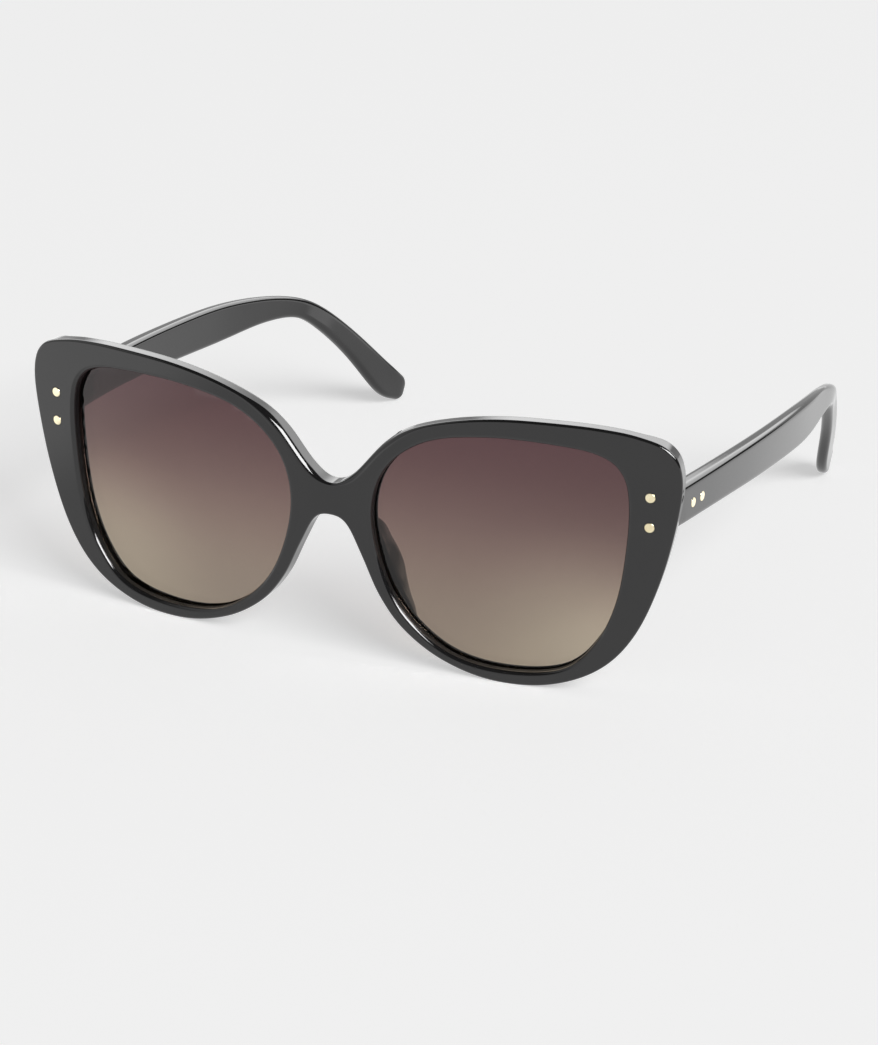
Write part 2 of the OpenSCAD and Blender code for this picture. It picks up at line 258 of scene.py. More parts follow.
def inside(loop, points):
    """Even-odd test of points against one closed polygon."""
    x, y = points[:, 0], points[:, 1]
    result = np.zeros(len(points), bool)
    for (x0, y0), (x1, y1) in zip(loop, np.roll(loop, -1, 0)):
        if y0 == y1:
            continue
        result ^= ((y0 > y) != (y1 > y)) & (x < (x1 - x0) * (y - y0) / (y1 - y0) + x0)
    return result


def in_region(loops, points):
    """Inside the first loop and outside the others."""
    result = inside(loops[0][0], points)
    for hole, _ in loops[1:]:
        result &= ~inside(hole, points)
    return result


def fill(build, loops, upward, step=0, lift=None):
    """Triangulates the area inside loops[0] and outside the others.

    loops: list of (2D points, vertex indices). upward: counter-clockwise triangles.
    step: spacing of extra inner points, which lift turns into 3D points and normals."""
    flat, indices, edges = [], [], []
    for loop, loop_indices in loops:
        start, count = len(flat), len(loop)
        flat += [tuple(q) for q in loop]
        indices += [int(i) for i in loop_indices]
        edges += [(start + i, start + (i + 1) % count) for i in range(count)]
    if step:
        low, high = loops[0][0].min(0), loops[0][0].max(0)
        columns = np.arange(low[0], high[0], step)
        rows = np.arange(low[1], high[1], step * 0.87)
        grid = np.array([(x + (step / 2 if j % 2 else 0), y)
                         for j, y in enumerate(rows) for x in columns])
        grid = grid[in_region(loops, grid)]
        border = np.array(flat)
        clear = [i for i, q in enumerate(grid)
                 if ((border - q) ** 2).sum(1).min() > (0.45 * step) ** 2]
        grid = grid[clear]
        flat += [tuple(q) for q in grid]
        indices += [int(i) for i in build.add(*lift(grid))]
    points, _, triangles, origins, _, _ = geometry.delaunay_2d_cdt(
        [Vector(q) for q in flat], edges, [], 0, 1e-7)
    source = [o[0] if o else -1 for o in origins]
    centres = np.array([[sum(points[i][k] for i in t) / len(t) for k in (0, 1)]
                        for t in triangles])
    for triangle, wanted in zip(triangles, in_region(loops, centres)):
        if not wanted or any(source[i] < 0 for i in triangle):
            continue
        a, b, c = (np.array(points[i]) for i in triangle)
        area = (b[0] - a[0]) * (c[1] - a[1]) - (b[1] - a[1]) * (c[0] - a[0])
        corners = [indices[source[i]] for i in triangle]
        if (area > 0) != upward:
            corners = corners[::-1]
        build.faces.append(tuple(corners))


# ---------------------------------------------------------------- the curved sheet
def sheet_point(x, z, depth):
    """Points at a depth behind the curved face, with the forward and sideways directions."""
    turn = np.arcsin(np.clip(x / FACE_R, -1, 1))
    s, c = np.sin(turn), np.cos(turn)
    points = np.stack([(FACE_R - depth) * s, FACE_R - (FACE_R - depth) * c, z + 0 * s], -1)
    forward = np.stack([s, -c, 0 * s], -1)
    sideways = np.stack([c, s, 0 * s], -1)
    return points, forward, sideways


def sheet_lift(facing, depth):
    """Lift for fill: on to the sheet at a depth, facing forwards (1) or backwards (-1)."""
    def lift(flat):
        points, forward, _ = sheet_point(flat[:, 0], flat[:, 1], depth)
        return points, facing * forward
    return lift


def ring(build, outline, away, *profile_row):
    """One loop on the sheet, as (2D points, vertex indices).

    away: 2D normals that point out of the material.
    profile_row: inset into the material, depth, forward and away parts of the normal."""
    inset, depth, normal_f, normal_a = (
        np.broadcast_to(np.asarray(v, float), (len(outline),))[:, None] for v in profile_row)
    flat = outline - inset * away
    points, forward, sideways = sheet_point(flat[:, 0], flat[:, 1], depth[:, 0])
    normals = normal_f * forward + normal_a * (
        away[:, :1] * sideways + away[:, 1:] * np.array([0, 0, 1.0]))
    return flat, build.add(points, normals)


def sweep(build, outline, away, profile, flip=False):
    """Rings down a profile, joined. Returns the first and the last ring."""
    rings = [ring(build, outline, away, *row) for row in profile]
    build.join([indices for _, indices in rings], flip)
    return rings[0], rings[-1]


def round_edge(radius, steps, rear=False):
    """Profile rows round an edge: from the face to the wall, or from the wall to the rear."""
    rows = [(radius * (1 - math.sin(a)), radius * (1 - math.cos(a)), math.cos(a), math.sin(a))
            for a in quarter(steps)]
    if rear:
        return [(inset, FRONT_T - depth, -nf, na) for inset, depth, nf, na in reversed(rows)]
    return rows


def end_loop(side, radius, z, count, half=None):
    """Counter-clockwise circle, or rounded rectangle of half sizes, at the hinge's x."""
    half_w, half_h = half or (radius, radius)
    a = np.linspace(0, 2 * math.pi, count, endpoint=False)
    centre_x = np.where(np.cos(a) >= 0, half_w - radius, radius - half_w)
    centre_z = np.where(np.sin(a) >= 0, half_h - radius, radius - half_h)
    x, dz = centre_x + radius * np.cos(a), centre_z + radius * np.sin(a)
    return mirrored(np.c_[FACE_R * np.sin(WRAP + x / FACE_R), dz + z], side)


def mirrored(loop, side):
    """The loop on the +x or -x side, running the same way round."""
    loop = loop * [side, 1]
    return loop if side > 0 else loop[::-1]


# ---------------------------------------------------------------- front
def outline_profile():
    """Profile rows down the outer wall; some insets and depths vary along the outline."""
    x, z = np.abs(OUTLINE[:, 0]), OUTLINE[:, 1]
    # behind the brow the back edge opens into a broad soft bevel, except at the end pieces
    brow = ease((z - 44) / 11) * (1 - ease((x - 62) / 7))
    bevel_depth, bevel_inset = REAR_EDGE + 1.25 * brow, REAR_EDGE + 2.55 * brow
    back = []
    for a in quarter(8):
        nf, na = math.sin(a) / bevel_depth, math.cos(a) / bevel_inset
        length = np.hypot(nf, na)
        back.append((bevel_inset * (1 - math.cos(a)),
                     FRONT_T - bevel_depth * (1 - math.sin(a)), -nf / length, na / length))
    # the front edge is rounder where the brow sweeps down to the bridge
    sweep_down = ease((21 - x) / 9) * ease((x - 0.5) / 4.5) * ease((z - 35) / 2)
    radius = FRONT_EDGE + 0.85 * sweep_down
    front = [(radius * (1 - math.sin(a)), radius * (1 - math.cos(a)), math.cos(a), math.sin(a))
             for a in quarter(10)]
    return front + [(0, 1.7, 0, 1)] + back


def build_front():
    """The front as a builder, with the indices of the dull faces inside the openings, which
    are given painted shade.
    """
    build = Builder()
    dull_shaded = []
    first, last = sweep(build, OUTLINE, loop_normals(OUTLINE), outline_profile())
    front_loops, rear_loops = [first], [last]

    front_rim = round_edge(INNER_EDGE, 8)
    groove_front, groove_rear = LENS_SET - FIT, LENS_SET + LENS_T + FIT
    groove = [(0, groove_front, 0, 1), (GROOVE, groove_front - 0.001, -1, 0.2),
              (GROOVE, groove_rear + 0.001, 1, 0.2), (0, groove_rear, 0, 1)]
    opening_profile = front_rim + groove + round_edge(INNER_REAR, 5, rear=True)
    seat_floor = FRONT_T - SEAT_DEPTH
    seat_profile = round_edge(0.12, 3, rear=True)[::-1] + [(0, seat_floor, 0, 1)]
    head_depth = FRONT_HEAD_T + FIT

    for side in (1, -1):
        opening = mirrored(OPENING_LOOP, side)
        start, count = len(build.faces), len(opening)
        first, last = sweep(build, opening, -loop_normals(opening), opening_profile, flip=True)
        # the strips between the two rounded edges, which get the darker wall black: painted
        # shade
        dull_from, dull_to = len(front_rim) - 1, len(front_rim) + len(groove)
        dull_shaded.extend(range(start + dull_from * count, start + dull_to * count))
        front_loops.append(first)
        rear_loops.append(last)

        # seat of the hinge leaf, in the back
        seat = end_loop(side, SEAT_R, HINGE_Z, 64, SEAT_HALF)
        first, last = sweep(build, seat, loop_normals(seat), seat_profile)
        rear_loops.append(first)
        floor_loops = [last]

        # stepped rivet holes from the face to the floor of the seat
        for up in (1, -1):
            z = HINGE_Z + up * RIVET_GAP / 2
            hole = end_loop(side, RIVET_HEAD_R + FIT, z, 48)
            shank = end_loop(side, RIVET_SHANK_R + FIT, z, 48)
            first, last = sweep(build, hole, loop_normals(hole),
                                round_edge(0.07, 3) + [(0, head_depth, 0.3, 1)], flip=True)
            front_loops.append(first)
            tube = [ring(build, shank, loop_normals(shank), 0, depth, nf, 1)
                    for depth, nf in ((head_depth, 0.3), (seat_floor, -0.3))]
            build.join([last[1], tube[0][1], tube[1][1]], flip=True)
            floor_loops.append(tube[1])
        fill(build, floor_loops, upward=False)

    fill(build, front_loops, upward=True, step=1.5, lift=sheet_lift(1, 0.0))
    fill(build, rear_loops, upward=False, step=1.5, lift=sheet_lift(-1, FRONT_T))
    return build, dull_shaded


# ---------------------------------------------------------------- lens and pad
def lens_mesh(mirror):
    """Curved lens with a bevelled edge that sits in the groove."""
    build = Builder()
    reach = GROOVE - 0.05
    rear = LENS_SET + LENS_T
    profile = [
        (-reach + 0.35, LENS_SET, 1, 0), (-reach + 0.12, LENS_SET + 0.1, 0.9, 0.4),
        (-reach, LENS_SET + 0.45, 0.3, 1), (-reach, rear - 0.45, -0.3, 1),
        (-reach + 0.12, rear - 0.1, -0.9, 0.4), (-reach + 0.35, rear, -1, 0)]
    first, last = sweep(build, OPENING_LOOP, loop_normals(OPENING_LOOP), profile)
    fill(build, [first], upward=True, step=2.0, lift=sheet_lift(1, LENS_SET))
    fill(build, [last], upward=False, step=2.0, lift=sheet_lift(-1, rear))
    return build.mesh("lens", TO_METRES @ UPRIGHT @ mirror)


def pad_mesh(mirror):
    """Moulded pad: a drop-shaped ridge that flares from the back of the rim."""
    build = Builder()
    sunk = 0.12                            # the foot starts this far inside the rim
    rows = resample(catmull(PAD_ROWS, False, 12), 64, False)
    along = np.gradient(rows[:, :2], axis=0)
    along /= np.linalg.norm(along, axis=1)[:, None]
    across = np.c_[-along[:, 1], along[:, 0]]
    a = np.linspace(0, math.pi, 25)
    rise = np.sin(a) ** 0.8
    lateral = np.sign(np.cos(a)) * np.abs(np.cos(a)) ** 0.85
    base_steps = np.linspace(0, 1, 7)[1:-1][:, None]
    loops = []
    for (foot_x, foot_z, foot_w, height, crest_x, crest_z, crest_w), (side_x, side_z) in zip(
            rows, across):
        half_width = 0.5 * (foot_w + (crest_w - foot_w) * rise ** 0.6)
        x = foot_x + (crest_x - foot_x) * rise + side_x * lateral * half_width
        z = foot_z + (crest_z - foot_z) * rise + side_z * lateral * half_width
        points, _, _ = sheet_point(x, z, FRONT_T - sunk + (height + sunk) * rise)
        base = points[-1] + (points[0] - points[-1]) * base_steps
        loops.append(build.add(np.vstack([points, base])))
    build.join(loops)
    build.cap(loops[0], flip=True)
    build.cap(loops[-1], flip=False)
    mesh = build.mesh("pad", TO_METRES @ UPRIGHT @ mirror, own_normals=False)
    mesh.shade_smooth()
    return mesh


# ---------------------------------------------------------------- blade
def blade_thickness(y):
    return BUTT_T + (TIP_T - BUTT_T) * ramp_up(y, 12, 88)


def blade_section(half_h, thick, radius):
    """Rounded rectangle (x, height): x from -thick to 0, height from -half_h to half_h.
    Starts on the outer face."""
    corners = [(-radius, half_h - radius, 0), (-thick + radius, half_h - radius, 90),
               (-thick + radius, -half_h + radius, 180), (-radius, -half_h + radius, 270)]
    points = []
    for k, (x, y, start_angle) in enumerate(corners):
        for j in range(8):
            a = math.radians(start_angle + 90 * j / 7)
            points.append((x + radius * math.cos(a), y + radius * math.sin(a)))
        next_x, next_y, _ = corners[(k + 1) % 4]
        a = math.radians(start_angle + 90)
        x0, y0 = x + radius * math.cos(a), y + radius * math.sin(a)
        x1, y1 = next_x + radius * math.cos(a), next_y + radius * math.sin(a)
        steps = 4 if k % 2 == 0 else 10    # short sides, long sides
        for j in range(1, steps):
            f = j / steps
            points.append((x0 + (x1 - x0) * f, y0 + (y1 - y0) * f))
    return np.array(points)


def mitre_y(x):
    """y of the butt face at x."""
    return face_y(HINGE_X) + (MITRE + (x - HINGE_X) * math.sin(WRAP)) / math.cos(WRAP)


def build_blade():
    """Swept blade with rounded edges, a mitred butt face and a blunt rounded tip (+x side)."""
    build = Builder()
    line = catmull(BLADE_STATIONS, False, 24)
    line = soften(resample(line[line[:, 0] >= 9.0], 220, False), 4.0, False)
    heading = np.gradient(line[:, :2], axis=0)
    heading /= np.linalg.norm(heading, axis=1)[:, None]

    def place(section, x, y, z, head):
        """Section set square to the heading (y, z parts)."""
        return np.c_[x + section[:, 0], y - section[:, 1] * head[1],
                     z + section[:, 1] * head[0]]

    # rows of (station, heading, edge inset, unwinding from the mitre)
    butt = [(BUTT_Y + BUTT_R * (1 - math.cos(a)), BUTT_R * (1 - math.sin(a)))
            for a in quarter(4)]
    butt += [(y, 0.0) for y in np.arange(BUTT_Y + BUTT_R + 0.25, 15, 0.4)]
    rows = []
    for at_y, inset in butt:
        station = [np.interp(at_y, line[:, 0], line[:, k]) for k in range(4)]
        head = [np.interp(at_y, line[:, 0], heading[:, k]) for k in range(2)]
        rows.append((station, head, inset, ease((at_y - BUTT_Y) / 4.0)))
    rows += [(station, head, 0.0, 1.0) for station, head in zip(line, heading)
             if station[0] > 15.2]

    loops = []
    for (y, z, half_h, outer_x), head, inset, unwound in rows:
        thick = blade_thickness(y)
        section = blade_section(half_h, thick, 1.05 + 0.05 * ramp_up(y, 30, 90))
        from_middle = section - np.array([-thick / 2, 0])
        for k, half in enumerate((thick / 2, half_h)):
            offset = from_middle[:, k]
            section[:, k] -= np.sign(offset) * inset * np.minimum(
                1, np.abs(offset) / (half - 0.3))
        points = place(section, outer_x, y, z, head)
        # slide each point along y so that the first loop lies on the butt plane
        slide = mitre_y(points[:, 0]) - BUTT_Y + section[:, 1] * head[1]
        points[:, 1] += slide * (1 - unwound)
        loops.append(build.add(points))

    # rounded tip
    (y, z, half_h, outer_x), head = line[-1], heading[-1]
    slope = (line[-1, 3] - line[-4, 3]) / np.linalg.norm(line[-1, :2] - line[-4, :2])
    for a in np.radians([8, 16, 25, 34, 43, 52, 61, 69, 76, 82, 87]):
        shrink, ahead = math.cos(a) ** 0.9, 3.0 * math.sin(a) ** 0.9
        tip_h, thick = max(half_h * shrink, 0.3), max(TIP_T * shrink ** 0.55, 0.3)
        section = blade_section(tip_h, thick, min(1.3, 0.48 * thick, 0.9 * tip_h))
        section[:, 0] -= (TIP_T - thick) / 2
        loops.append(build.add(place(section, outer_x + slope * ahead, y + head[0] * ahead,
                                     z + head[1] * ahead, head)))
    build.join(loops)
    build.cap(loops[0], flip=True)
    build.cap(loops[-1], flip=False)
    return build


def add_box(work, low, high, matrix):
    cube = bmesh.ops.create_cube(work, size=1.0)
    low, high = Vector(low), Vector(high)
    place = (matrix @ Matrix.Translation((low + high) / 2)
             @ Matrix.Diagonal((*(high - low), 1)))
    bmesh.ops.transform(work, matrix=place, verts=cube["verts"])


def add_rod(work, radius, start, end, matrix, segments):
    """Cylinder along the local x from start to end."""
    rod = bmesh.ops.create_cone(work, cap_ends=True, segments=segments, radius1=radius,
                                radius2=radius, depth=end - start)
    place = (matrix @ Matrix.Translation(((start + end) / 2, 0, 0))
             @ Matrix.Rotation(math.pi / 2, 4, "Y"))
    bmesh.ops.transform(work, matrix=place, verts=rod["verts"])


def cut_pocket(work, y_range, z_range):
    low, high = zip(POCKET_X, y_range, z_range)
    add_box(work, low, high, AT_LEAF)


def cut_rivet_holes(work):
    for y, z in LEAF_RIVETS:
        matrix = AT_LEAF @ Matrix.Translation((0, y, z))
        add_rod(work, RIVET_SHANK_R + FIT, 0.2, 3.5, matrix, segments=32)
        add_rod(work, RIVET_HEAD_R + FIT, LEAF_FACE - 0.5, 6, matrix, segments=48)


BLADE_CUTS = [
    lambda work: cut_pocket(work, y_range=(-4, 1.4), z_range=(-3.8, 4.8)),
    lambda work: cut_pocket(work, y_range=(0, 13.53), z_range=(-3.33, 1.33)),
    cut_rivet_holes]


def link_object(name, data):
    obj = bpy.data.objects.new(name, data)
    bpy.context.scene.collection.objects.link(obj)
    return obj


def blade_mesh(mirror):
    """Blade with the pockets and rivet holes of the hinge leaf cut out."""
    blade = link_object("blade_tmp", build_blade().mesh("blade", AT_BLADE, own_normals=False))
    temporary = [blade]
    for k, draw in enumerate(BLADE_CUTS):
        work = bmesh.new()
        draw(work)
        bmesh.ops.recalc_face_normals(work, faces=work.faces)
        cut_mesh = bpy.data.meshes.new("cut%d" % k)
        work.to_mesh(cut_mesh)
        work.free()
        cutter = link_object("cut%d" % k, cut_mesh)
        temporary.append(cutter)
        boolean = blade.modifiers.new("cut", "BOOLEAN")
        boolean.operation = "DIFFERENCE"
        boolean.solver = "EXACT"
        boolean.use_self = draw is cut_rivet_holes     # its rods overlap
        boolean.object = cutter
    bpy.context.view_layer.update()
    depsgraph = bpy.context.evaluated_depsgraph_get()
    mesh = bpy.data.meshes.new_from_object(blade.evaluated_get(depsgraph))
    for obj in temporary:
        bpy.data.objects.remove(obj)
    matrix = TO_METRES @ mirror
    mesh.transform(matrix)
    if matrix.determinant() < 0:
        mesh.flip_normals()
    mesh.shade_smooth()
    mesh.set_sharp_from_angle(angle=math.radians(38))
    return mesh


# ---------------------------------------------------------------- rivets
def lathe_mesh(profile, matrix, count=48):
    """Closed solid of revolution about the local y.
    profile: (radius, y) from the front centre to the back centre."""
    build = Builder()
    a = np.linspace(0, 2 * math.pi, count, endpoint=False)
    loops = []
    for radius, y in profile:
        if radius < 1e-6:
            loops.append(build.add([[0, y, 0]]))
        else:
            loops.append(build.add(np.c_[radius * np.cos(a), np.full(count, y),
                                         radius * np.sin(a)]))
    for i, j in zip(loops, loops[1:]):
        if len(i) == 1:
            build.faces += [(int(i[0]), int(j[(k + 1) % count]), int(j[k]))
                            for k in range(count)]
        elif len(j) == 1:
            build.faces += [(int(i[k]), int(i[(k + 1) % count]), int(j[0]))
                            for k in range(count)]
        else:
            build.join([i, j])
    mesh = build.mesh("lathe", matrix, own_normals=False)
    mesh.shade_smooth()
    mesh.set_sharp_from_angle(angle=math.radians(40))
    return mesh


def rivet_profile(rise, rim_y, under_y, plate_t):
    """Low domed head with a rounded rim, then the shank through a plate. -y is outwards."""
    flat_r = RIVET_HEAD_R - RIVET_RIM
    points = [(0, -rise)]
    for k in range(1, 9):
        radius = k / 8 * flat_r
        points.append((radius, -rise + rise * 0.55 * (radius / RIVET_HEAD_R) ** 2))
    y = points[-1][1]
    points += [(flat_r + RIVET_RIM * math.sin(a), y + RIVET_RIM * (1 - math.cos(a)))
               for a in quarter(6)[1:]]
    return points + [
        (RIVET_HEAD_R, rim_y), (RIVET_HEAD_R - 0.03, under_y), (RIVET_SHANK_R, under_y),
        (RIVET_SHANK_R, plate_t - 0.06), (RIVET_SHANK_R - 0.05, plate_t - 0.02),
        (0, plate_t - 0.02)]


# ---------------------------------------------------------------- shader helpers
def add_node(tree, kind, inputs=None, **properties):
    """New node; each input is given a socket to link from, or a value."""
    node = tree.nodes.new(kind)
    for key, value in properties.items():
        setattr(node, key, value)
    for key, value in (inputs or {}).items():
        if isinstance(value, bpy.types.NodeSocket):
            tree.links.new(value, node.inputs[key])
        else:
            node.inputs[key].default_value = value
    return node


def node_material(name):
    material = bpy.data.materials.new(name)
    material.use_nodes = True
    material.node_tree.nodes.clear()
    return material, material.node_tree


def object_coords(tree):
    return add_node(tree, "ShaderNodeTexCoord").outputs["Object"]


def noise(tree, coords, scale, detail, rough):
    inputs = {"Scale": scale, "Detail": detail, "Roughness": rough}
    if coords is not None:
        inputs["Vector"] = coords
    return add_node(tree, "ShaderNodeTexNoise", inputs).outputs["Fac"]


def scaled_coords(tree, coords, scale, rotation=(0, 0, 0)):
    return add_node(tree, "ShaderNodeMapping", {
        "Vector": coords, "Scale": scale, "Rotation": rotation}).outputs["Vector"]


def color_ramp(tree, source, stops, interpolation="LINEAR"):
    """stops: (position, colour)."""
    node = add_node(tree, "ShaderNodeValToRGB", {"Fac": source})
    node.color_ramp.interpolation = interpolation
    elements = node.color_ramp.elements
    while len(elements) < len(stops):
        elements.new(0.5)
    for k, (position, color) in enumerate(stops):
        elements[k].position = position
        elements[k].color = (*color[:3], 1)
    return node.outputs["Color"]


def map_range(tree, value, source=(0, 1), target=(0, 1), kind="LINEAR"):
    return add_node(tree, "ShaderNodeMapRange", {
        "Value": value, "From Min": source[0], "From Max": source[1],
        "To Min": target[0], "To Max": target[1]}, interpolation_type=kind).outputs["Result"]


def math_node(tree, operation, *values):
    return add_node(tree, "ShaderNodeMath", dict(enumerate(values)),
                    operation=operation).outputs["Value"]


def product(tree, values):
    result = values[0]
    for value in values[1:]:
        result = math_node(tree, "MULTIPLY", result, value)
    return result


def mix_shaders(tree, factor, first, second):
    return add_node(tree, "ShaderNodeMixShader",
                    {0: factor, 1: first, 2: second}).outputs["Shader"]


def bump_normal(tree, height, strength, distance):
    return add_node(tree, "ShaderNodeBump", {
        "Strength": strength, "Distance": distance, "Height": height}).outputs["Normal"]


def set_surface(tree, shader):
    add_node(tree, "ShaderNodeOutputMaterial", {"Surface": shader})


def srgb(*levels):
    """Linear colour of 8-bit sRGB levels."""
    def linear(level):
        c = level / 255
        return c / 12.92 if c <= 0.04045 else ((c + 0.055) / 1.055) ** 2.4
    return (*(linear(level) for level in levels), 1)


# ---------------------------------------------------------------- materials
def gloss_black(name, base=0.0115, rough=(0.04, 0.09), bump=0.03, ior=1.54):
    """Moulded plastic: near black with tone drift, micro texture and hair scratches."""
    material, tree = node_material(name)
    coords = object_coords(tree)
    tone = noise(tree, coords, scale=90, detail=4, rough=0.55)
    color = color_ramp(tree, tone, [(0.3, (base * 0.88, base * 0.86, base * 0.9)),
                                    (0.7, (base * 1.1, base * 1.07, base * 1.08))])
    smear = noise(tree, coords, scale=260, detail=5, rough=0.6)
    stretched = scaled_coords(tree, coords, scale=(1200, 90, 2600), rotation=(0.3, 0.5, 0.2))
    hairs = noise(tree, stretched, scale=1.0, detail=2, rough=0.5)
    scratches = color_ramp(tree, hairs, [(0.0, (0, 0, 0)), (0.66, (0, 0, 0)),
                                         (0.8, (1, 1, 1))])
    smear_rough = map_range(tree, smear, source=(0.3, 0.7), target=rough)
    scratch_rough = 0.05               # roughness added in a scratch
    roughness = math_node(tree, "MULTIPLY_ADD", scratches, scratch_rough, smear_rough)
    peel = noise(tree, coords, scale=700, detail=2, rough=0.5)
    shader = add_node(tree, "ShaderNodeBsdfPrincipled", {
        "Base Color": color, "Roughness": roughness, "IOR": ior,
        "Normal": bump_normal(tree, peel, strength=bump, distance=0.0001)})
    set_surface(tree, shader.outputs["BSDF"])
    return material


def metal(name, dark, light, rough, streak, bump=0.15):
    """Metal with streaks (noise scale along each axis) and uneven roughness."""
    material, tree = node_material(name)
    coords = object_coords(tree)
    streaks = noise(tree, scaled_coords(tree, coords, scale=streak),
                    scale=1.0, detail=4, rough=0.6)
    grain = noise(tree, coords, scale=900, detail=3, rough=0.5)
    shader = add_node(tree, "ShaderNodeBsdfPrincipled", {
        "Base Color": color_ramp(tree, streaks, [(0.3, dark), (0.7, light)]),
        "Metallic": 1.0,
        "Roughness": map_range(tree, grain, source=(0.3, 0.7), target=rough),
        "Normal": bump_normal(tree, streaks, strength=bump, distance=0.00005)})
    set_surface(tree, shader.outputs["BSDF"])
    return material


PALE_GROUND = srgb(240, 240, 240)
LENS_VEIL = 0.034        # light taken off the wanted colour
LENS_PASS = 0.92         # loss allowed for besides the tint
LENS_IOR = 1.5
# position up the lens, colour seen over the pale ground (sRGB)
LENS_STOPS = [(0.02, (164, 152, 138)), (0.30, (148, 133, 121)), (0.55, (126, 107, 102)),
              (0.78, (105, 85, 84)), (0.98, (95, 74, 76))]
# sRGB colour of the painted glow in the lower outer corner
LENS_CORNER_GLOW = (186, 175, 155)


def root_tint(levels):
    """Per-surface colour that shows as the sRGB levels through two surfaces."""
    return (*(math.sqrt(max(0.0005, c - LENS_VEIL) / PALE_GROUND[0] / LENS_PASS)
              for c in srgb(*levels)[:3]), 1)


def lens_material():
    """Gradient tint: the colour is what one surface lets through, two give the full tint."""
    material, tree = node_material("tinted_lens")
    coords = object_coords(tree)
    split = add_node(tree, "ShaderNodeSeparateXYZ", {"Vector": coords})
    height = map_range(tree, split.outputs["Z"], source=(0.002, 0.052))
    drift = noise(tree, coords, scale=18, detail=3, rough=0.5)
    drift_size = 0.03
    place = math_node(tree, "MULTIPLY_ADD", drift, drift_size, height)
    tint = color_ramp(tree, place, [(at, root_tint(seen)) for at, seen in LENS_STOPS],
                      "B_SPLINE")
    # painted glow: paler towards the lower outer corner
    side_x = math_node(tree, "ABSOLUTE", split.outputs["X"])
    folded = add_node(tree, "ShaderNodeCombineXYZ", {"X": side_x, "Z": split.outputs["Z"]})
    corner = (0.055, 0, 0.005)
    distance = add_node(tree, "ShaderNodeVectorMath",
                        {0: folded.outputs["Vector"], 1: corner}, operation="DISTANCE")
    painted_glow = map_range(tree, distance.outputs["Value"], source=(0.036, 0.0),
                         target=(0, 0.55), kind="SMOOTHERSTEP")
    color = add_node(tree, "ShaderNodeMixRGB", {
        "Fac": painted_glow, "Color1": tint, "Color2": root_tint(LENS_CORNER_GLOW)})
    through = add_node(tree, "ShaderNodeBsdfTransparent", {"Color": color.outputs["Color"]})
    smear = noise(tree, coords, scale=120, detail=4, rough=0.6)
    gloss = add_node(tree, "ShaderNodeBsdfGlossy", {
        "Roughness": map_range(tree, smear, target=(0.015, 0.05))})
    # the same reflection from either side of the thin lens
    side = add_node(tree, "ShaderNodeNewGeometry")
    ior = map_range(tree, side.outputs["Backfacing"], target=(LENS_IOR, 1 / LENS_IOR))
    fresnel = add_node(tree, "ShaderNodeFresnel", {"IOR": ior})
    set_surface(tree, mix_shaders(tree, fresnel.outputs["Fac"], through.outputs["BSDF"],
                                  gloss.outputs["BSDF"]))
    return material


BLACK = gloss_black("black_frame")
# darker, less reflective copy of the frame black for the walls inside the openings: painted
# shade in the recess, with a rougher finish
BLACK_WALL_PAINTED_SHADE = gloss_black("black_wall_painted_shade", base=0.006, rough=(0.45, 0.6), bump=0.05, ior=1.25)
BLACK_PAD = gloss_black("black_pad", base=0.012, rough=(0.15, 0.19), bump=0.0)
LENS = lens_material()
GOLD = metal("rivet_gold", dark=(0.84, 0.74, 0.48), light=(0.93, 0.84, 0.60),
             rough=(0.12, 0.22), streak=(300, 300, 300), bump=0.05)
STEEL = metal("hinge_steel", dark=(0.045, 0.044, 0.042), light=(0.075, 0.073, 0.07),
              rough=(0.30, 0.45), streak=(2500, 120, 120))
SCREW = metal("screw_steel", dark=(0.56, 0.55, 0.53), light=(0.72, 0.71, 0.69),
              rough=(0.16, 0.26), streak=(1800, 1800, 60))


# ---------------------------------------------------------------- assemble
def piece(name, mesh, material, body, node):
    obj = link_object(name, mesh)
    mesh.materials.clear()
    mesh.materials.append(material)
    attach(obj, body)
    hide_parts(node)
    return obj


def add_front():
    build, dull_shaded = build_front()
    mesh = build.mesh("front", TO_METRES @ UPRIGHT)
    piece("front_shell", mesh, BLACK, "front", "front_frame")
    mesh.materials.append(BLACK_WALL_PAINTED_SHADE)
    # the walls inside the openings get the painted-shade copy of the black
    for k in dull_shaded:
        mesh.polygons[k].material_index = 1


def add_blade(name, mirror):
    blade = piece("blade_" + name, blade_mesh(mirror), BLACK, "temple_" + name,
                  "temple_" + name)
    weighted = blade.modifiers.new("weighted", "WEIGHTED_NORMAL")
    weighted.keep_sharp = True
    weighted.weight = 80


def add_front_rivets(name, mirror):
    profile = rivet_profile(rise=0.16, rim_y=0.45, under_y=FRONT_HEAD_T, plate_t=FRONT_T)
    for up, where in ((1, "upper"), (-1, "lower")):
        matrix = (TO_METRES @ mirror @ AT_END
                  @ Matrix.Translation((0, 0, up * RIVET_GAP / 2)))
        piece("stud_front_%s_%s" % (where, name), lathe_mesh(profile, matrix), GOLD,
              "front", "front_rivet_%s_%s" % (where, name))


def add_temple_rivets(name, mirror):
    profile = rivet_profile(rise=0.14, rim_y=0.40, under_y=0.46, plate_t=LEAF_FACE)
    for (y, z), where in zip(LEAF_RIVETS, ("fore", "aft")):
        turn = (Matrix.Translation((LEAF_FACE, y, z))
                @ Matrix.Rotation(math.pi / 2, 4, "Z"))
        matrix = TO_METRES @ mirror @ AT_LEAF @ turn
        stud = piece("stud_temple_%s_%s" % (where, name), lathe_mesh(profile, matrix), GOLD,
                     "temple_" + name, "temple_rivet_%s_%s" % (where, name))
        stud.visible_glossy = False
        # the clenched tail is finished with the hinge leaf
        stud.data.materials.append(STEEL)
        to_rivet = matrix.inverted()
        for face in stud.data.polygons:
            if (to_rivet @ face.center).y > LEAF_FACE - 0.1:
                face.material_index = 1


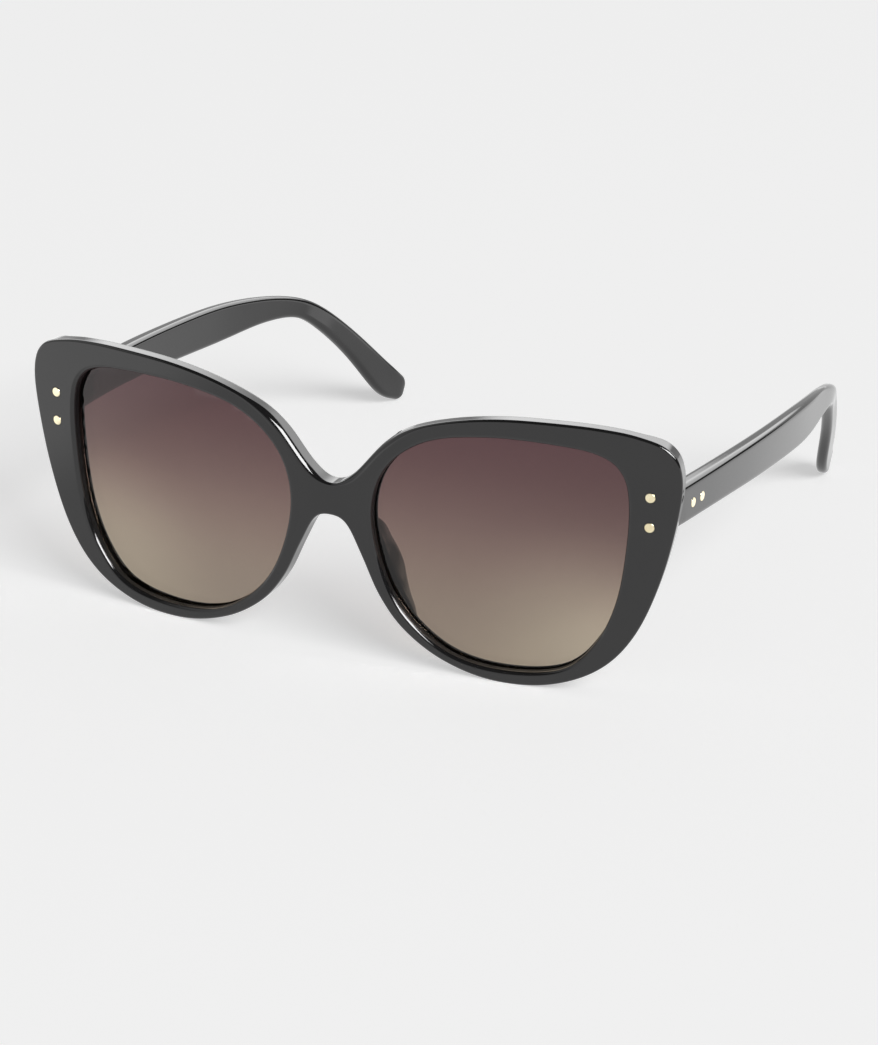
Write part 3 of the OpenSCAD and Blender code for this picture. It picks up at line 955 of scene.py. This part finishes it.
def finish_hinges():
    """Hinge parts keep their CAD shape, with welded seams and broken edges."""
    for name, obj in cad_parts.items():
        if not name.startswith("hinge_"):
            continue
        obj.data.materials.clear()
        obj.data.materials.append(SCREW if "screw" in name else STEEL)
        weld = obj.modifiers.new("weld", "WELD")
        weld.merge_threshold = 0.000002
        bevel = obj.modifiers.new("bevel", "BEVEL")
        bevel.limit_method = "ANGLE"
        bevel.angle_limit = math.radians(35)
        bevel.width = 0.00009
        bevel.segments = 3
        bevel.use_clamp_overlap = True


add_front()
for name, mirror in (("left", Matrix.Identity(4)), ("right", MIRROR)):
    piece("lens_glazing_" + name, lens_mesh(mirror), LENS, "front",
          "lens_" + name)
    piece("pad_" + name, pad_mesh(mirror), BLACK_PAD, "front",
          "nose_pad_" + name)
    add_blade(name, mirror)
    add_front_rivets(name, mirror)
    add_temple_rivets(name, mirror)
finish_hinges()

# ---------------------------------------------------------------- floor (metres from here on)
FLOOR_COLOR = 0.80
FLOOR_LIFT = 0.472                # glow added to the lit floor
# painted glow on the floor, seen only in reflections: in general, behind on the +x side, added
# far out at -x
FLOOR_NEAR, FLOOR_BACK, FLOOR_SIDE = 0.92, 1.5, 0.45


def floor_material():
    material, tree = node_material("pale_floor")
    tone = noise(tree, None, scale=4, detail=3, rough=0.5)
    color = color_ramp(tree, tone, [(0.2, (FLOOR_COLOR * 0.995,) * 3),
                                    (0.8, (FLOOR_COLOR,) * 3)])
    diffuse = add_node(tree, "ShaderNodeBsdfDiffuse", {"Color": color})
    split = add_node(tree, "ShaderNodeSeparateXYZ", {"Vector": object_coords(tree)})

    def fade(axis, start, end, top=1):
        return map_range(tree, split.outputs[axis], source=(start, end), target=(0, top),
                         kind="SMOOTHSTEP")

    # painted pool of light on the floor, shown only in reflections: brighter behind on the +x
    # side and far out at -x
    behind = product(tree, [fade("X", 0.060, 0.098), fade("Y", -0.06, 0.03)])
    strength = math_node(tree, "MULTIPLY_ADD", behind, FLOOR_BACK - FLOOR_NEAR, FLOOR_NEAR)
    strength = math_node(tree, "ADD", strength, fade("X", -0.098, -0.140, top=FLOOR_SIDE))
    painted_floor_glow = add_node(tree, "ShaderNodeEmission", {"Strength": strength})
    lift = add_node(tree, "ShaderNodeEmission", {"Strength": FLOOR_LIFT})
    lit = add_node(tree, "ShaderNodeAddShader",
                   {0: diffuse.outputs["BSDF"], 1: lift.outputs["Emission"]})
    rays = add_node(tree, "ShaderNodeLightPath")
    set_surface(tree, mix_shaders(tree, rays.outputs["Is Glossy Ray"], lit.outputs["Shader"],
                                  painted_floor_glow.outputs["Emission"]))
    return material


def add_floor():
    work = bmesh.new()
    bmesh.ops.create_grid(work, x_segments=8, y_segments=8, size=6.0)
    mesh = bpy.data.meshes.new("floor")
    work.to_mesh(mesh)
    work.free()
    floor = bpy.data.objects.new("floor", mesh)
    floor.location = (0, 0, -0.00002)
    bpy.context.scene.collection.objects.link(floor)
    mesh.materials.append(floor_material())


add_floor()

# ---------------------------------------------------------------- light
# softbox centre and half sizes
KEY_AZIMUTH, KEY_ELEVATION = math.radians(63), math.radians(35.5)
KEY_HALF_W, KEY_HALF_H = math.radians(19), math.radians(12.5)
KEY_DISTANCE, KEY_POWER = 20, 2560.0
KEY_TARGET = Vector((0, -0.02, 0.02))
KEY_DIRECTION = Vector((math.sin(KEY_AZIMUTH) * math.cos(KEY_ELEVATION),
                        -math.cos(KEY_AZIMUTH) * math.cos(KEY_ELEVATION),
                        math.sin(KEY_ELEVATION)))
WALL_AZIMUTH = math.radians(50)
# strengths in reflections: back wall, softbox, surround, glow from the -x side
WALL_GLOSS, KEY_GLOSS, DARK_GLOSS, SIDE_GLOSS = 4.5, 26.0, 0.06, 0.9
FILL = 0.195                      # even fill for diffuse light


def world_light():
    """Even fill for diffuse light; for reflections a bright back wall, a dark surround,
    a glow from the -x side and a window-like softbox."""
    world = bpy.data.worlds.new("studio")
    bpy.context.scene.world = world
    world.use_nodes = True
    tree = world.node_tree
    tree.nodes.clear()
    view = add_node(tree, "ShaderNodeTexCoord").outputs["Generated"]

    def edge(direction, start, end, absolute=False):
        """Smooth weight from 0 where the dot product is start to 1 where it is end."""
        value = add_node(tree, "ShaderNodeVectorMath",
                         {0: view, 1: Vector(direction).normalized()},
                         operation="DOT_PRODUCT").outputs["Value"]
        if absolute:
            value = math_node(tree, "ABSOLUTE", value)
        return map_range(tree, value, source=(start, end), kind="SMOOTHSTEP")

    def background(**inputs):
        return add_node(tree, "ShaderNodeBackground", inputs).outputs["Background"]

    wall_side = (-math.cos(WALL_AZIMUTH), math.sin(WALL_AZIMUTH), 0)
    wall = product(tree, [edge(wall_side, -0.03, 0.10), edge((0, 1, 0), 0.05, 0.35),
                          edge((0, 0, 1), 0.24, 0.34), edge((0, 0, -1), -0.72, -0.52),
                          WALL_GLOSS])
    low = product(tree, [edge((-1, 0, 0), -0.38, -0.30), edge((0, 0, -1), -0.33, -0.27),
                         SIDE_GLOSS])
    lobe_start, lobe_end = math.cos(math.radians(43)), math.cos(math.radians(24))
    lobe = product(tree, [edge((-0.85, -0.10, 0.35), lobe_start, lobe_end), SIDE_GLOSS])
    side = math_node(tree, "MAXIMUM", low, lobe)

    across = Vector((math.cos(KEY_AZIMUTH), math.sin(KEY_AZIMUTH), 0))
    upward = KEY_DIRECTION.cross(across)
    half_w, half_h = math.sin(KEY_HALF_W), math.sin(KEY_HALF_H)
    blur = 0.02
    softbox = product(tree, [edge(KEY_DIRECTION, 0.3, 0.5),
                             edge(across, half_w + blur, half_w, absolute=True),
                             edge(upward, half_h + blur, half_h, absolute=True), KEY_GLOSS])
    strength = math_node(tree, "ADD", wall, softbox)
    strength = math_node(tree, "ADD", strength, side)
    strength = math_node(tree, "ADD", strength, DARK_GLOSS)
    reflected = background(Strength=strength)
    fill_light = background(Strength=FILL)
    plain = background(Color=PALE_GROUND)
    rays = add_node(tree, "ShaderNodeLightPath")
    lighting = mix_shaders(tree, rays.outputs["Is Glossy Ray"], fill_light, reflected)
    shader = mix_shaders(tree, rays.outputs["Is Camera Ray"], lighting, plain)
    add_node(tree, "ShaderNodeOutputWorld", {"Surface": shader})


def add_key():
    light = bpy.data.lights.new("key", "AREA")
    light.shape = "RECTANGLE"
    light.size = 2 * KEY_DISTANCE * math.tan(KEY_HALF_W)
    light.size_y = 2 * KEY_DISTANCE * math.tan(KEY_HALF_H)
    light.energy = KEY_POWER
    key = link_object("key", light)
    key.location = KEY_TARGET + KEY_DIRECTION * KEY_DISTANCE
    aim = KEY_TARGET - (KEY_TARGET + KEY_DIRECTION * KEY_DISTANCE)
    key.rotation_euler = aim.to_track_quat("-Z", "Y").to_euler()
    key.visible_glossy = False         # the world shows the softbox in reflections


world_light()
add_key()

# ---------------------------------------------------------------- camera and render
CAMERA_PLACE = (0.2985, -0.5966 - FRONT_SHIFT / 1000, 0.2908)
CAMERA_AXES = ((0.90568, 0.42366, 0.01619),        # right
               (-0.16864, 0.32495, 0.93057),       # up
               (0.38898, -0.84553, 0.36575))       # backwards


def add_camera():
    data = bpy.data.cameras.new("camera")
    data.sensor_width = 36.0
    data.lens = 124.019139
    data.clip_start = 0.01
    data.clip_end = 50
    camera = link_object("camera", data)
    camera.matrix_world = (Matrix.Translation(CAMERA_PLACE)
                           @ Matrix(CAMERA_AXES).transposed().to_4x4())
    bpy.context.scene.camera = camera


def set_render():
    scene = bpy.context.scene
    scene.view_settings.view_transform = "Standard"
    scene.view_settings.look = "None"
    scene.view_settings.exposure = 0
    scene.view_settings.gamma = 1
    scene.cycles.use_denoising = True
    scene.cycles.max_bounces = 12
    scene.cycles.transparent_max_bounces = 16
    scene.cycles.sample_clamp_indirect = 10


add_camera()
set_render()
